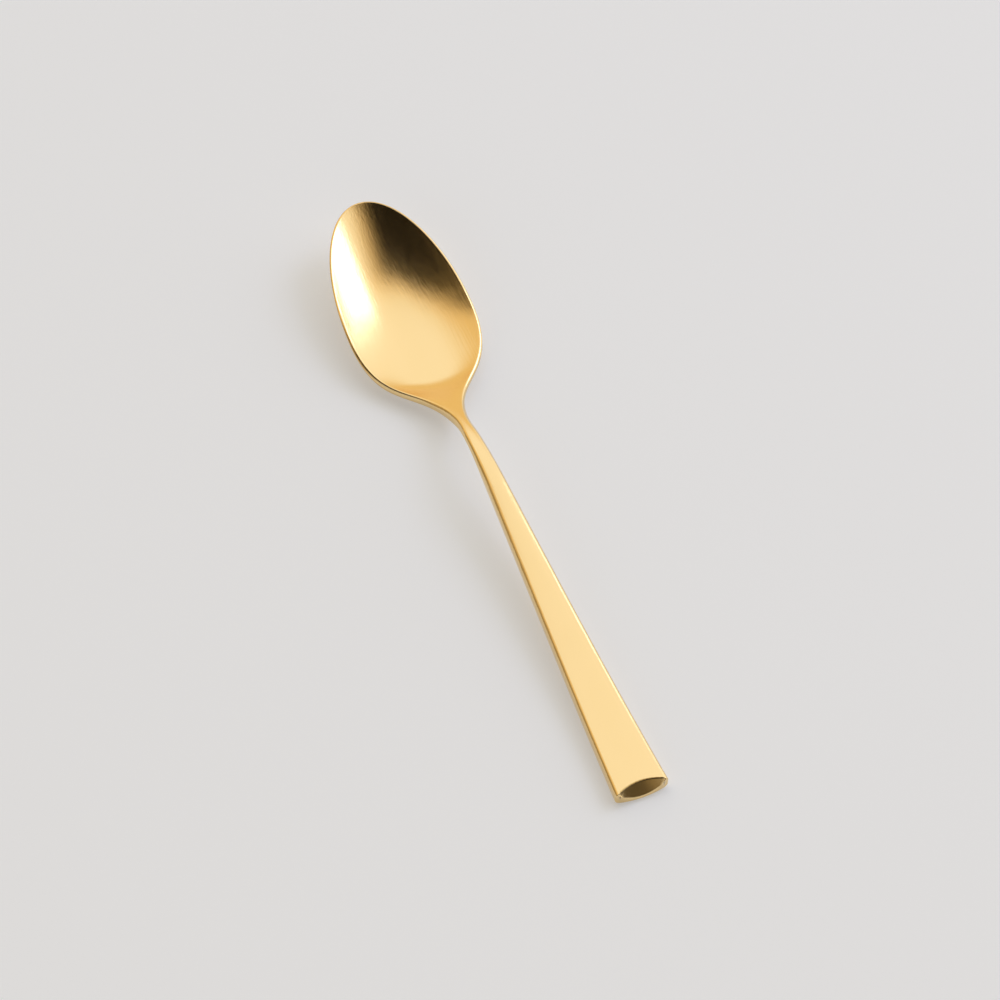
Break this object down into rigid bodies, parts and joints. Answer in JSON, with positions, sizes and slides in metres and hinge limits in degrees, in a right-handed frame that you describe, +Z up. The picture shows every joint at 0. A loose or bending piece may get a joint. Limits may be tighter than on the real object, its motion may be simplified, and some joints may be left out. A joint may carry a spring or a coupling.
{
  "type": "coffee spoon",
  "caption": "Slim coffee spoon in satin gold-coloured steel: an oval dished bowl, a narrow neck cranked down to it, and a flat handle that widens to a square, facet-cut end.",
  "frame": {"origin": "middle of the length and width, on the table that the spoon lies on", "axes": "+X along the spoon from the end of the handle to the tip of the bowl, +Y across it, +Z up out of the bowl"},
  "size_m": [0.135, 0.0246, 0.0096],
  "materials": {
    "satin_gold": "satin gold-coloured coating, brushed along the spoon"
  },
  "bodies": {
    "root": {"spoon": "satin_gold"}
  },
  "joints": []
}
